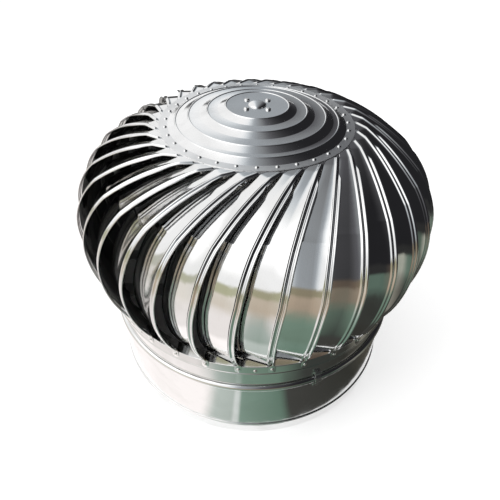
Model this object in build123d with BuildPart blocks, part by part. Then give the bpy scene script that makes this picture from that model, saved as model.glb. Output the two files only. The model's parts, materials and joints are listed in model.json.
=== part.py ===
from build123d import *
from math import asin, atan2, cos, degrees, radians, sin, sqrt, tan
import os

# Roof turbine ventilator with a 500 mm throat, in millimetres.
# The origin is the centre of the throat's bottom edge, +Z points up the axle and -Y is the front.
# Azimuths are counted in degrees from +X, anticlockwise seen from above.

# ---------------------------------------------------------------- driving dimensions

# Throat: two plain sheet rings whose flanges are held together by a split locking band
throat_radius = 249.0           # outside of the plain wall
throat_sheet = 1.0
throat_height = 170.0           # top edge, up inside the turbine's bottom ring
throat_joint_height = 125.0     # where the two rings meet
throat_flange_width = 3.5
hem_height = 20.0               # doubled band round the bottom edge
hem_step = 1.2
hem_bead_radius = 1.5
lock_band_height = 13.0
lock_band_depth = 6.0
lock_band_sheet = 0.9
lock_band_split = 6.0           # gap between the band's two ends, bridged by the clip
clip_azimuth = 294.7
clip_width = 10.0
clip_height = 34.0
clip_drop = 3.0                 # clip's middle below the joint
clip_foot_run = 4.0             # strap's slope beside the band
clip_sheet = 1.0
clip_curl_radius = 2.4
seat_gap = 0.1                  # between curved sheets that rest on each other

# Fixed axle and the bracket that carries it across the throat
bracket_height = 92.0           # underside of the arms
bracket_arm_width = 30.0
bracket_arm_thickness = 4.0
bracket_tab_height = 26.0
bracket_hub_radius = 14.0
bracket_hub_height = 30.0
bracket_hub_rise = 8.0          # hub's top above the arms
hub_flange_radius = 46.0
hub_flange_thickness = 4.0
arm_rivet_insets = (21.0, 9.0)   # from the hub flange's edge
arm_count = 4
axle_radius = 6.0
axle_shoulder_step = 2.4        # inner rings and the spacer stand on it
axle_stub = 24.0                # threaded end below the bracket hub
axle_nut_reach = 1.0            # thread that stands past the upper nut
axle_chamfer = 1.0
nut_across_flats = 18.0
nut_height = 7.0
washer_radius = 12.0
washer_thickness = 2.0
fit_gap = 0.02                  # radial, bearing rings and hubs on their seats

# Sealed ball bearings, 12 x 32 x 10
bearing_radius = 16.0
bearing_width = 10.0
bearing_inner_wall = 2.7
bearing_outer_wall = 2.6
shield_thickness = 0.6
shield_gap = 0.3
housing_wall = 3.0
housing_lip = 2.5
housing_rim = 2.0               # housing's height past the bearing's open side
circlip_thickness = 1.0

# Turbine
vane_count = 32
turbine_bulge = 36.5            # vanes' outer edges at their widest, outside the bottom ring
cap_rim_radius = 148.0
cap_rise = 268.5                # top face of the cap's riveted flange above the bottom ring
cap_sheet = 1.0
cap_flange_width = 13.0
cap_step_rise = 5.6             # each of the four raised steps
cap_flat_rise = 1.0             # each flat between them is very slightly domed
cap_slope_width = 10.5
cap_flat_widths = (9.5, 18.0, 17.0)
cap_corner_radius = 1.6
access_hole_gap = 1.1           # round the upper nut's corners
dome_seat = 2.0                 # dome's foot round the access hole
dome_height = 4.5
dome_sheet = 0.8
screw_inset = 1.0               # between the bearing cup and the screws
screw_radius = 2.5
screw_head_radius = 4.0
screw_head_height = 2.4
screw_clearance = 0.1
screw_count = 4
upper_flange_radius = 32.0
upper_flange_thickness = 5.0
clamp_ring_width = 15.5
clamp_ring_inset = 1.0          # from the cap's rim
clamp_ring_thickness = 2.0

# Bottom ring of the turbine, an angle section stiffened by a flat hoop
ring_clearance = 6.0            # between the throat's wall and the ring's
ring_sheet = 1.0
ring_lap = 3.0                  # ring's lower edge below the throat's top
ring_height = 19.0
ring_flange_width = 18.0
ring_hem_height = 2.6
ring_hem_step = 1.0
hoop_thickness = 3.0
hoop_height = 12.0
spider_arm_width = 24.0
spider_arm_thickness = 3.0
spider_tab_height = 10.0
ring_rivet_count = 8
ring_rivet_drop = 8.5           # below the ring's top face

# Vane: a strip rolled to three radii, with a stiffening bead and a hem along its outer edge
vane_sheet = 0.8
vane_azimuth = 240.0            # the first vane's strip runs inward from here
edge_offset = 129.5             # from the axle to the vertical plane of the outer edge
strip_width = 61.5
bead_inset = 7.5                # bead crest to outer edge
bead_height = 1.8
bead_half_width = 3.2
valley_depth = 1.0
hem_width = 1.8
hem_rise = 1.0
hem_thickness = 1.7
lip_width = 6.0
lip_depth = 1.6
shoulder_roll_radius = 140.0
shoulder_turn = 47.0            # degrees rolled between the widest point and the crease
crease_turn = 6.0
tab_bend_turn = 15.0
tab_bend_radius = 20.0
skew_height = 340.0             # below this the strip leans back towards its bottom corner
skew_angle = 6.4
vane_foot_gap = 1.5             # vane's lower edge above the ring
vane_foot_overhang = 0.6        # hem's foot outside the ring's wall
vane_foot_trim = 6.0            # rolled length that is cut off level at the foot
tab_gap = 0.7                   # between neighbouring tabs under the cap
tab_reach = 1.5                 # tabs' edge outside the cap's rim
tab_lead = 27.5                 # flat length of the tab outside the cap's rim
bead_stop = 9.0                 # bead's end outside the cap's rim
tab_lap = 2.0                   # strip's flat end runs this far into the part under the rim
hem_chamfer = 14.0
ear_width = 11.0
ear_gap = 0.15
ear_rise = 6.0
ear_setback = 1.9               # ear's middle from the hem's edge
cap_rivet_setback = 10.2        # from the edge of the tab, round the rivet circle
vane_rivet_drop = 5.0           # below the ring's top face
cap_rivet_inset = 9.0           # from the cap's rim

# Rivets
rivet_radius = 1.6
rivet_clearance = 0.1
rivet_head_radius = 2.9
rivet_head_height = 1.7
rivet_tail_radius = 2.4
rivet_tail_height = 1.2

# ---------------------------------------------------------------- derived sizes

vane_pitch = 360 / vane_count
rivet_hole_radius = rivet_radius + rivet_clearance
throat_inner_radius = throat_radius - throat_sheet
band_foot = throat_radius + seat_gap
band_half = lock_band_height / 2
band_split_angle = degrees(lock_band_split / throat_radius)

ring_inner_radius = throat_radius + ring_clearance
ring_radius = ring_inner_radius + ring_sheet
turbine_radius = ring_radius + turbine_bulge
ring_bottom = throat_height - ring_lap
ring_top = ring_bottom + ring_height
hoop_inner_radius = ring_inner_radius - hoop_thickness
spider_tab_radius = hoop_inner_radius - spider_arm_thickness
spider_top = ring_top - ring_sheet
spider_bottom = spider_top - spider_arm_thickness

cap_rim_height = ring_top + cap_rise
tab_top = cap_rim_height - cap_sheet
tab_bottom = tab_top - vane_sheet
clamp_bottom = tab_bottom - clamp_ring_thickness
clamp_ring_radius = cap_rim_radius - clamp_ring_inset
rivet_circle_radius = cap_rim_radius - cap_rivet_inset
cap_slope_count = len(cap_flat_widths) + 1
plateau_radius = (
    cap_rim_radius - cap_flange_width - cap_slope_count * cap_slope_width - sum(cap_flat_widths)
)
plateau_top = (
    cap_rim_height + cap_slope_count * cap_step_rise + len(cap_flat_widths) * cap_flat_rise
)
plateau_bottom = plateau_top - cap_sheet
access_hole_radius = nut_across_flats / sqrt(3) + access_hole_gap
dome_radius = access_hole_radius + dome_seat

bearing_bore_radius = axle_radius + fit_gap
bearing_outside_radius = bearing_radius - fit_gap
inner_ring_radius = bearing_bore_radius + bearing_inner_wall
outer_ring_bore = bearing_outside_radius - bearing_outer_wall
housing_radius = bearing_radius + housing_wall
housing_lip_radius = bearing_radius - housing_lip
upper_bearing_top = plateau_bottom - upper_flange_thickness - housing_rim
upper_bearing_bottom = upper_bearing_top - bearing_width
lower_bearing_bottom = spider_bottom - hub_flange_thickness
lower_bearing_top = lower_bearing_bottom + bearing_width
screw_circle_radius = housing_radius + screw_inset + screw_radius

bracket_top = bracket_height + bracket_arm_thickness
bracket_hub_top = bracket_top + bracket_hub_rise
bracket_hub_bottom = bracket_hub_top - bracket_hub_height
axle_shoulder_radius = axle_radius + axle_shoulder_step
axle_bottom = bracket_hub_bottom - axle_stub
axle_nut_top = upper_bearing_top + nut_height

# A vane is drawn in its own upright plane: run is measured along the strip towards the axle,
# across is measured square to that, from the axle to the outer edge. Slopes are in degrees.
bead_offset = edge_offset - bead_inset
bead_foot_offset = bead_offset + bead_half_width
rim_radius = cap_rim_radius + tab_reach
rim_run = -sqrt(rim_radius**2 - bead_foot_offset**2)
widest_run = -sqrt(turbine_radius**2 - edge_offset**2)
tab_run = rim_run - tab_lead
crease_slope = 90 - shoulder_turn
top_start_slope = crease_slope - crease_turn
crease_run = widest_run + shoulder_roll_radius * (1 - cos(radians(shoulder_turn)))
top_end_run = tab_run - tab_bend_radius * sin(radians(tab_bend_turn))
top_end_height = tab_top - tab_bend_radius * (1 - cos(radians(tab_bend_turn)))
top_roll_radius = (top_end_run - crease_run) / (sin(radians(top_start_slope)) - sin(radians(tab_bend_turn)))
crease_height = top_end_height - top_roll_radius * (
    cos(radians(tab_bend_turn)) - cos(radians(top_start_slope))
)
widest_height = crease_height - shoulder_roll_radius * sin(radians(shoulder_turn))

# The lower roll brings the strip from its widest point to the edge of the bottom ring
foot_height = ring_top + vane_foot_gap
foot_offset = edge_offset - (skew_height - foot_height) * tan(radians(skew_angle))
foot_run = -sqrt((ring_radius + vane_foot_overhang) ** 2 - foot_offset**2)
foot_rise = widest_height - foot_height
lower_roll_radius = (foot_rise**2 + (foot_run - widest_run) ** 2) / (2 * (foot_run - widest_run))

# Under the cap each vane fills one sector, and its rivets follow from its edges
sector_end = vane_azimuth + degrees(atan2(bead_foot_offset, -rim_run))
sector_start = sector_end - vane_pitch + degrees(tab_gap / rim_radius)
cap_rivet_azimuth = sector_end - degrees(cap_rivet_setback / rivet_circle_radius)
vane_rivet_azimuth = vane_azimuth + degrees(atan2(foot_offset - ear_setback, -foot_run))
vane_rivet_height = ring_top - vane_rivet_drop
ring_rivet_height = ring_top - ring_rivet_drop
arm_azimuth = vane_rivet_azimuth + vane_pitch / 2
arm_azimuths = [arm_azimuth + turn * 360 / arm_count for turn in range(arm_count)]
arm_rivet_radii = [hub_flange_radius - inset for inset in arm_rivet_insets]
ring_rivet_azimuths = [arm_azimuth + turn * 360 / ring_rivet_count for turn in range(ring_rivet_count)]
vane_rivet_azimuths = [vane_rivet_azimuth + turn * vane_pitch for turn in range(vane_count)]


def on_circle(radius, azimuth, height=0.0):
    """Point at a radius and an azimuth round the axle."""
    return (radius * cos(radians(azimuth)), radius * sin(radians(azimuth)), height)


def upright_plane(azimuth):
    """Plane through the axle whose local X points outward at the azimuth and local Y points up."""
    return Plane(
        origin=(0, 0, 0),
        x_dir=on_circle(1, azimuth),
        z_dir=on_circle(1, azimuth - 90),
    )


def facing_plane(radius, azimuth, height):
    """Plane square to the radius at an azimuth, looking outward, with local Y up."""
    return Plane(
        origin=on_circle(radius, azimuth, height),
        x_dir=on_circle(1, azimuth + 90),
        z_dir=on_circle(1, azimuth),
    )


def export_piece(piece, name):
    """Label a finished piece and write it as its own STEP file."""
    piece.label = name
    export_step(piece, f"parts/{name}.step")


def rivet_profile(grip):
    """Half outline of a dome-headed rivet along local Y, with the seat of its head at zero."""
    with BuildSketch(Plane.XY, mode=Mode.PRIVATE) as outline:
        with BuildLine():
            shank = Line((0, -grip - rivet_tail_height), (rivet_tail_radius, -grip - rivet_tail_height))
            tail = Line(shank @ 1, (rivet_tail_radius, -grip))
            under = Line(tail @ 1, (rivet_radius, -grip))
            side = Line(under @ 1, (rivet_radius, 0))
            seat = Line(side @ 1, (rivet_head_radius, 0))
            crown_radius = dome_arc_radius(rivet_head_radius, rivet_head_height)
            RadiusArc(seat @ 1, (0, rivet_head_height), -crown_radius)
            Line((0, rivet_head_height), (0, -grip - rivet_tail_height))
        make_face()
    return outline.sketch


def dome_arc_radius(half_width, height):
    """Radius of the arc of a dome of that half width and height."""
    return (half_width**2 + height**2) / (2 * height)


def rivet(grip):
    """One rivet on local Z, its head above the origin and its tail a grip below."""
    with BuildPart(Plane.XY, mode=Mode.PRIVATE) as one:
        with BuildSketch(Plane.XZ):
            add(rivet_profile(grip))
        revolve(axis=Axis.Z)
    return one.part


def ring_section(inner_radius, outer_radius, bottom, top):
    """Rectangular half section of a ring round the axle, drawn on Plane.XZ."""
    with Locations(((inner_radius + outer_radius) / 2, (bottom + top) / 2)):
        Rectangle(outer_radius - inner_radius, top - bottom)


os.makedirs("parts", exist_ok=True)

# ---------------------------------------------------------------- throat

with BuildPart() as throat_lower:
    with BuildSketch(Plane.XZ):
        ring_section(throat_inner_radius, throat_radius, 0, throat_joint_height)
        ring_section(throat_inner_radius, throat_radius + hem_step, 0, hem_height)
        with Locations((throat_radius, hem_height + hem_bead_radius)):
            Circle(hem_bead_radius)
        ring_section(
            throat_inner_radius,
            throat_radius + throat_flange_width,
            throat_joint_height - throat_sheet,
            throat_joint_height,
        )
    revolve(axis=Axis.Z)
export_piece(throat_lower.part, "throat_lower")

with BuildPart() as throat_upper:
    with BuildSketch(Plane.XZ):
        ring_section(throat_inner_radius, throat_radius, throat_joint_height, throat_height)
        ring_section(
            throat_inner_radius,
            throat_radius + throat_flange_width,
            throat_joint_height,
            throat_joint_height + throat_sheet,
        )
        with Locations((throat_radius, throat_height - hem_bead_radius)):
            Circle(hem_bead_radius)
    revolve(axis=Axis.Z)
export_piece(throat_upper.part, "throat_upper")

# The band is a half-round channel, rolled from clip_azimuth all the way round to its other end
with BuildPart() as lock_band:
    with BuildSketch(upright_plane(clip_azimuth + band_split_angle / 2)):
        with BuildLine():
            outside = ThreePointArc(
                (band_foot, throat_joint_height - band_half),
                (band_foot + lock_band_depth, throat_joint_height),
                (band_foot, throat_joint_height + band_half),
            )
            inside = ThreePointArc(
                (band_foot, throat_joint_height - band_half + lock_band_sheet),
                (band_foot + lock_band_depth - lock_band_sheet, throat_joint_height),
                (band_foot, throat_joint_height + band_half - lock_band_sheet),
            )
            Line(outside @ 0, inside @ 0)
            Line(outside @ 1, inside @ 1)
        make_face()
    revolve(axis=Axis.Z, revolution_arc=360 - band_split_angle)
export_piece(lock_band.part, "lock_band")

# The clip is a strap bent over the band, with a curled upper end
clip_foot = band_foot + clip_sheet / 2
clip_arch = band_foot + lock_band_depth + seat_gap + clip_sheet
clip_angle = degrees(clip_width / throat_radius)
clip_bottom = throat_joint_height - clip_height / 2 - clip_drop
clip_top = clip_bottom + clip_height
clip_bend_drop = band_half + clip_foot_run
with BuildPart() as band_clip:
    with BuildSketch(upright_plane(clip_azimuth - clip_angle / 2)):
        with BuildLine():
            strap = FilletPolyline(
                (clip_foot, clip_bottom),
                (clip_foot, throat_joint_height - clip_bend_drop),
                (clip_arch, throat_joint_height - band_half),
                (clip_arch, throat_joint_height + band_half),
                (clip_foot, throat_joint_height + clip_bend_drop),
                (clip_foot, clip_top),
                radius=clip_sheet,
            )
            offset(strap, amount=clip_sheet / 2, side=Side.BOTH)
        make_face()
        with Locations((clip_foot + clip_curl_radius - clip_sheet / 2, clip_top)):
            Circle(clip_curl_radius)
            Circle(clip_curl_radius - clip_sheet, mode=Mode.SUBTRACT)
    revolve(axis=Axis.Z, revolution_arc=clip_angle)
export_piece(band_clip.part, "band_clip")

# ---------------------------------------------------------------- bracket and axle

def arm_rivet_places(height):
    """Seats of the rivets that join the arms to a hub's flange."""
    return [on_circle(radius, azimuth, height) for azimuth in arm_azimuths for radius in arm_rivet_radii]


def welded_hub(bore, outside, bottom, top, flange_top):
    """Tube on the axle with a flange that the arms are riveted to."""
    with BuildPart(mode=Mode.PRIVATE) as hub:
        with BuildSketch(Plane.XZ):
            ring_section(bore, outside, bottom, top)
            ring_section(bore, hub_flange_radius, flange_top - hub_flange_thickness, flange_top)
        revolve(axis=Axis.Z)
        with Locations(*arm_rivet_places(flange_top)):
            Hole(rivet_hole_radius)
    return hub.part


def riveted_arms(hub_radius, end, width, bottom, top, tab_height):
    """Flat bars along the radii, drilled for their hub rivets, each with its end bent down into a tab."""
    start = max(hub_radius, width / 2 / tan(radians(180 / arm_count))) + seat_gap
    tab_angle = degrees(width / end)
    with BuildPart(mode=Mode.PRIVATE) as arms:
        with BuildSketch(Plane.XY.offset(bottom)):
            with PolarLocations((start + end) / 2, arm_count, start_angle=arm_azimuth):
                Rectangle(end - start, width)
            Circle(end, mode=Mode.INTERSECT)
        extrude(amount=top - bottom)
        for azimuth in arm_azimuths:
            with BuildSketch(upright_plane(azimuth - tab_angle / 2)):
                ring_section(end - (top - bottom), end, top - tab_height, top)
        revolve(axis=Axis.Z, revolution_arc=tab_angle)
        with Locations(*arm_rivet_places(top)):
            Hole(rivet_hole_radius, depth=top - bottom)
    return arms.part


bracket_hub = welded_hub(
    bearing_bore_radius, bracket_hub_radius, bracket_hub_bottom, bracket_hub_top, bracket_height
)
export_piece(bracket_hub, "bracket_hub")

# The bracket's tabs are spot welded to the throat's wall
bracket_arms = riveted_arms(
    bracket_hub_radius,
    throat_inner_radius - seat_gap,
    bracket_arm_width,
    bracket_height,
    bracket_top,
    bracket_tab_height,
)
export_piece(bracket_arms, "bracket_arms")

bracket_rivet = rivet(bracket_arm_thickness + hub_flange_thickness)
with BuildPart() as bracket_rivets:
    with Locations(*arm_rivet_places(bracket_top)):
        add(bracket_rivet)
export_piece(bracket_rivets.part, "bracket_rivets")

# The axle drops through the bracket hub on its shoulder, and both bearings slide on from above
with BuildPart() as axle:
    with BuildSketch(Plane.XZ):
        ring_section(0, axle_radius, axle_bottom, axle_nut_top + axle_nut_reach)
        ring_section(0, axle_shoulder_radius, bracket_hub_top, lower_bearing_bottom)
    revolve(axis=Axis.Z)
    ends = axle.edges().group_by(Axis.Z)
    chamfer(ends[0] + ends[-1], length=axle_chamfer)
export_piece(axle.part, "axle")

with BuildPart() as axle_spacer:
    with BuildSketch(Plane.XZ):
        ring_section(bearing_bore_radius, axle_shoulder_radius, lower_bearing_top, upper_bearing_bottom)
    revolve(axis=Axis.Z)
export_piece(axle_spacer.part, "axle_spacer")

# Two hexagon nuts, the lower one with a washer face that bears on the bracket hub
with BuildPart() as axle_nuts:
    for bottom in (bracket_hub_bottom - washer_thickness - nut_height, upper_bearing_top):
        with BuildSketch(Plane.XY.offset(bottom)):
            RegularPolygon(nut_across_flats / 2, 6, major_radius=False)
        extrude(amount=nut_height)
    with BuildSketch(Plane.XY.offset(bracket_hub_bottom - washer_thickness)):
        Circle(washer_radius)
    extrude(amount=washer_thickness)
    with Locations((0, 0, axle_nut_top)):
        Hole(bearing_bore_radius)
export_piece(axle_nuts.part, "axle_nuts")

# ---------------------------------------------------------------- bearings

for name, bottom in (("lower", lower_bearing_bottom), ("upper", upper_bearing_bottom)):
    with BuildPart() as inner_ring:
        with BuildSketch(Plane.XZ):
            ring_section(bearing_bore_radius, inner_ring_radius, bottom, bottom + bearing_width)
        revolve(axis=Axis.Z)
    export_piece(inner_ring.part, f"{name}_bearing_inner_ring")

    # The outer ring carries both shields, which hide the balls
    with BuildPart() as outer_ring:
        with BuildSketch(Plane.XZ):
            ring_section(outer_ring_bore, bearing_outside_radius, bottom, bottom + bearing_width)
            for shield_bottom in (bottom, bottom + bearing_width - shield_thickness):
                ring_section(
                    inner_ring_radius + shield_gap,
                    bearing_outside_radius,
                    shield_bottom,
                    shield_bottom + shield_thickness,
                )
        revolve(axis=Axis.Z)
    export_piece(outer_ring.part, f"{name}_bearing_outer_ring")

# ---------------------------------------------------------------- lower spider and bottom ring

lower_hub_bottom = lower_bearing_bottom - housing_lip
spider_hub = welded_hub(
    bearing_radius, housing_radius, lower_hub_bottom, lower_bearing_top + housing_rim, spider_bottom
)
with BuildPart() as spider_housing:
    add(spider_hub)
    with BuildSketch(Plane.XZ):
        ring_section(housing_lip_radius, housing_radius, lower_hub_bottom, lower_bearing_bottom)
    revolve(axis=Axis.Z)
export_piece(spider_housing.part, "lower_bearing_housing")


def ring_rivet_holes(azimuths, height):
    """Holes through the bottom ring's band, square to the radius."""
    for azimuth in azimuths:
        with Locations(facing_plane(ring_radius + ear_rise, azimuth, height)):
            Hole(rivet_hole_radius, depth=ring_radius - spider_tab_radius + 2 * ear_rise)


bent_arms = riveted_arms(
    housing_radius,
    hoop_inner_radius - seat_gap,
    spider_arm_width,
    spider_bottom,
    spider_top,
    spider_tab_height,
)
with BuildPart() as spider_arms:
    add(bent_arms)
    ring_rivet_holes(arm_azimuths, ring_rivet_height)
export_piece(spider_arms.part, "spider_arms")

spider_rivet = rivet(spider_arm_thickness + hub_flange_thickness)
with BuildPart() as spider_rivets:
    with Locations(*arm_rivet_places(spider_top)):
        add(spider_rivet)
export_piece(spider_rivets.part, "spider_rivets")

with BuildPart() as bottom_ring:
    with BuildSketch(Plane.XZ):
        ring_section(ring_inner_radius, ring_radius, ring_bottom, ring_top)
        ring_section(ring_radius - ring_flange_width, ring_radius, ring_top - ring_sheet, ring_top)
        ring_section(
            ring_inner_radius,
            ring_radius + ring_hem_step,
            ring_bottom,
            ring_bottom + ring_hem_height,
        )
    revolve(axis=Axis.Z)
    ring_rivet_holes(ring_rivet_azimuths, ring_rivet_height)
    ring_rivet_holes(vane_rivet_azimuths, vane_rivet_height)
export_piece(bottom_ring.part, "bottom_ring")

with BuildPart() as ring_hoop:
    with BuildSketch(Plane.XZ):
        ring_section(hoop_inner_radius, ring_inner_radius, spider_top - hoop_height, spider_top)
    revolve(axis=Axis.Z)
    ring_rivet_holes(ring_rivet_azimuths, ring_rivet_height)
    ring_rivet_holes(vane_rivet_azimuths, vane_rivet_height)
export_piece(ring_hoop.part, "ring_hoop")

# Rivets join the band to its hoop, and every other one also takes the end of an arm.
# A row above them holds the vanes' ears. Tails stand off the hollow side by the seat gap.
ear_face = ring_radius + ear_gap + vane_sheet
hoop_rivet = rivet(ring_radius - hoop_inner_radius + seat_gap)
tab_rivet = rivet(ring_radius - spider_tab_radius + 2 * seat_gap)
ear_rivet = rivet(ear_face - hoop_inner_radius + seat_gap)
with BuildPart() as ring_rivets:
    for azimuth in ring_rivet_azimuths:
        with Locations(facing_plane(ring_radius, azimuth, ring_rivet_height)):
            add(tab_rivet if azimuth in arm_azimuths else hoop_rivet)
    for azimuth in vane_rivet_azimuths:
        with Locations(facing_plane(ear_face, azimuth, vane_rivet_height)):
            add(ear_rivet)
export_piece(ring_rivets.part, "ring_rivets")

# ---------------------------------------------------------------- cap

def cap_outline():
    """Top face of the spun cap from its centre to its rim: a plateau and three flats, stepped down."""
    points = [(0, plateau_top), (plateau_radius, plateau_top)]
    for flat_width in reversed(cap_flat_widths):
        radius, height = points[-1]
        points.append((radius + cap_slope_width, height - cap_step_rise))
        points.append((radius + cap_slope_width + flat_width, height - cap_step_rise - cap_flat_rise))
    radius, height = points[-1]
    points.append((radius + cap_slope_width, cap_rim_height))
    points.append((cap_rim_radius, cap_rim_height))
    return points


with BuildPart() as top_cap:
    with BuildSketch(Plane.XZ):
        with BuildLine():
            spun = FilletPolyline(*cap_outline(), radius=cap_corner_radius)
            offset(spun, amount=cap_sheet, side=Side.RIGHT)
        make_face()
    revolve(axis=Axis.Z)
    with Locations((0, 0, plateau_top)):
        Hole(access_hole_radius, depth=2 * cap_sheet)
        with PolarLocations(screw_circle_radius, screw_count, start_angle=180 / screw_count):
            Hole(screw_radius + screw_clearance, depth=2 * cap_sheet)
    with Locations((0, 0, cap_rim_height)):
        with PolarLocations(rivet_circle_radius, vane_count, start_angle=cap_rivet_azimuth):
            Hole(rivet_hole_radius, depth=2 * cap_sheet)
export_piece(top_cap.part, "top_cap")

# A small pressed dome closes the hole over the axle's nut
with BuildPart() as hub_dome:
    with BuildSketch(Plane.XZ):
        with BuildLine():
            crown = RadiusArc(
                (0, plateau_top + dome_height),
                (dome_radius, plateau_top),
                dome_arc_radius(dome_radius, dome_height),
            )
            hollow = RadiusArc(
                (0, plateau_top + dome_height - dome_sheet),
                (dome_radius - 2 * dome_sheet, plateau_top),
                dome_arc_radius(dome_radius - 2 * dome_sheet, dome_height - dome_sheet),
            )
            Line(crown @ 0, hollow @ 0)
            Line(crown @ 1, hollow @ 1)
        make_face()
    revolve(axis=Axis.Z)
export_piece(hub_dome.part, "hub_dome")

with BuildPart() as clamp_ring:
    with BuildSketch(Plane.XZ):
        ring_section(clamp_ring_radius - clamp_ring_width, clamp_ring_radius, clamp_bottom, tab_bottom)
    revolve(axis=Axis.Z)
    with Locations((0, 0, tab_bottom)):
        with PolarLocations(rivet_circle_radius, vane_count, start_angle=cap_rivet_azimuth):
            Hole(rivet_hole_radius, depth=2 * clamp_ring_thickness)
export_piece(clamp_ring.part, "clamp_ring")

cap_rivet = rivet(cap_rim_height - clamp_bottom)
with BuildPart() as cap_rivets:
    with Locations((0, 0, cap_rim_height)):
        with PolarLocations(rivet_circle_radius, vane_count, start_angle=cap_rivet_azimuth):
            add(cap_rivet)
export_piece(cap_rivets.part, "cap_rivets")

# The upper bearing sits in a cup that hangs from the cap's plateau on four screws
with BuildPart() as upper_housing:
    with BuildSketch(Plane.XZ):
        ring_section(bearing_radius, housing_radius, upper_bearing_bottom - housing_lip, plateau_bottom)
        ring_section(housing_lip_radius, housing_radius, upper_bearing_top, plateau_bottom)
        ring_section(
            housing_lip_radius,
            upper_flange_radius,
            plateau_bottom - upper_flange_thickness,
            plateau_bottom,
        )
    revolve(axis=Axis.Z)
    with Locations((0, 0, plateau_bottom)):
        with PolarLocations(screw_circle_radius, screw_count, start_angle=180 / screw_count):
            Hole(screw_radius + fit_gap, depth=upper_flange_thickness)
export_piece(upper_housing.part, "upper_bearing_housing")

with BuildPart() as bearing_circlip:
    with BuildSketch(Plane.XZ):
        ring_section(
            housing_lip_radius,
            bearing_radius,
            upper_bearing_bottom - circlip_thickness,
            upper_bearing_bottom,
        )
    revolve(axis=Axis.Z)
export_piece(bearing_circlip.part, "bearing_circlip")

with BuildPart(mode=Mode.PRIVATE) as housing_screw:
    with BuildSketch(Plane.XZ):
        with BuildLine():
            shank = Polyline(
                (0, plateau_bottom - upper_flange_thickness),
                (screw_radius, plateau_bottom - upper_flange_thickness),
                (screw_radius, plateau_top),
                (screw_head_radius, plateau_top),
            )
            RadiusArc(
                shank @ 1,
                (0, plateau_top + screw_head_height),
                -dome_arc_radius(screw_head_radius, screw_head_height),
            )
            Line((0, plateau_top + screw_head_height), shank @ 0)
        make_face()
    revolve(axis=Axis.Z)

with BuildPart() as housing_screws:
    with PolarLocations(screw_circle_radius, screw_count, start_angle=180 / screw_count):
        add(housing_screw.part)
export_piece(housing_screws.part, "housing_screws")

# ---------------------------------------------------------------- vanes

inward = Vector(*on_circle(1, vane_azimuth - 180))
across = Vector(*on_circle(1, vane_azimuth + 90))


def neighbour_line(offset, run):
    """Where the next strip's line at an offset crosses this strip at a run."""
    return offset / cos(radians(vane_pitch)) + tan(radians(vane_pitch)) * run


tab_inner_offset = neighbour_line(bead_foot_offset, tab_run) + tab_gap
inner_taper = (tab_inner_offset - (edge_offset - strip_width)) / (tab_run - crease_run)


def lower_station(height):
    """Run, height and slope of the strip's path at a height below its widest point."""
    turn = asin((widest_height - height) / lower_roll_radius)
    return widest_run + lower_roll_radius * (1 - cos(turn)), height, 90 + degrees(turn)


def shoulder_station(turn):
    """Run, height and slope after a turn above the widest point."""
    run = widest_run + shoulder_roll_radius * (1 - cos(radians(turn)))
    return run, widest_height + shoulder_roll_radius * sin(radians(turn)), 90 - turn


def top_station(slope):
    """Run, height and slope on the flatter top roll."""
    run = crease_run + top_roll_radius * (sin(radians(top_start_slope)) - sin(radians(slope)))
    height = crease_height + top_roll_radius * (cos(radians(slope)) - cos(radians(top_start_slope)))
    return run, height, slope


def strip_section(station):
    """Cross-section of the strip, on the plane square to its path at a station."""
    run, height, slope = station
    tangent = inward * cos(radians(slope)) + Vector(0, 0, 1) * sin(radians(slope))
    plane = Plane(origin=inward * run + Vector(0, 0, height), x_dir=across, z_dir=-tangent)
    skew = max(0, skew_height - height) * tan(radians(skew_angle))
    inner = edge_offset - strip_width + max(0, run - crease_run) * inner_taper - skew
    bead = bead_offset - skew
    outer = edge_offset - skew
    outside = [
        (inner, -lip_depth),
        (inner + lip_width, 0),
        (bead - bead_half_width, 0),
        (bead, bead_height),
        (bead + bead_half_width, -valley_depth),
        (outer - hem_width, hem_rise),
        (outer, hem_rise),
    ]
    inside = [(x, y - vane_sheet) for x, y in outside[:-2]]
    inside += [(outer - hem_width, hem_rise - hem_thickness), (outer, hem_rise - hem_thickness)]
    with BuildSketch(plane) as section:
        with BuildLine():
            Polyline(*outside, *reversed(inside), close=True)
        make_face()
    return section.sketch.face()


def plan_points(*points):
    """Ground positions of points given as run and offset across."""
    return [tuple(inward * run + across * offset)[:2] for run, offset in points]


# Stations follow the path up the lower roll, round the shoulder to the crease and over the top
roll_shares = (0, 0.25, 0.5, 0.75)
crease = (crease_run, crease_height, crease_slope - crease_turn / 2)
lower_end = foot_height - vane_foot_trim
lower_stations = [lower_station(lower_end + share * (widest_height - lower_end)) for share in roll_shares]
shoulder_stations = [shoulder_station(share * shoulder_turn) for share in roll_shares]
top_stations = [
    top_station(tab_bend_turn + share * (top_start_slope - tab_bend_turn)) for share in reversed(roll_shares)
]
side_sections = [strip_section(station) for station in [*lower_stations, *shoulder_stations, crease]]
top_sections = [strip_section(station) for station in [crease, *top_stations, (tab_run, tab_top, 0)]]

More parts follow.
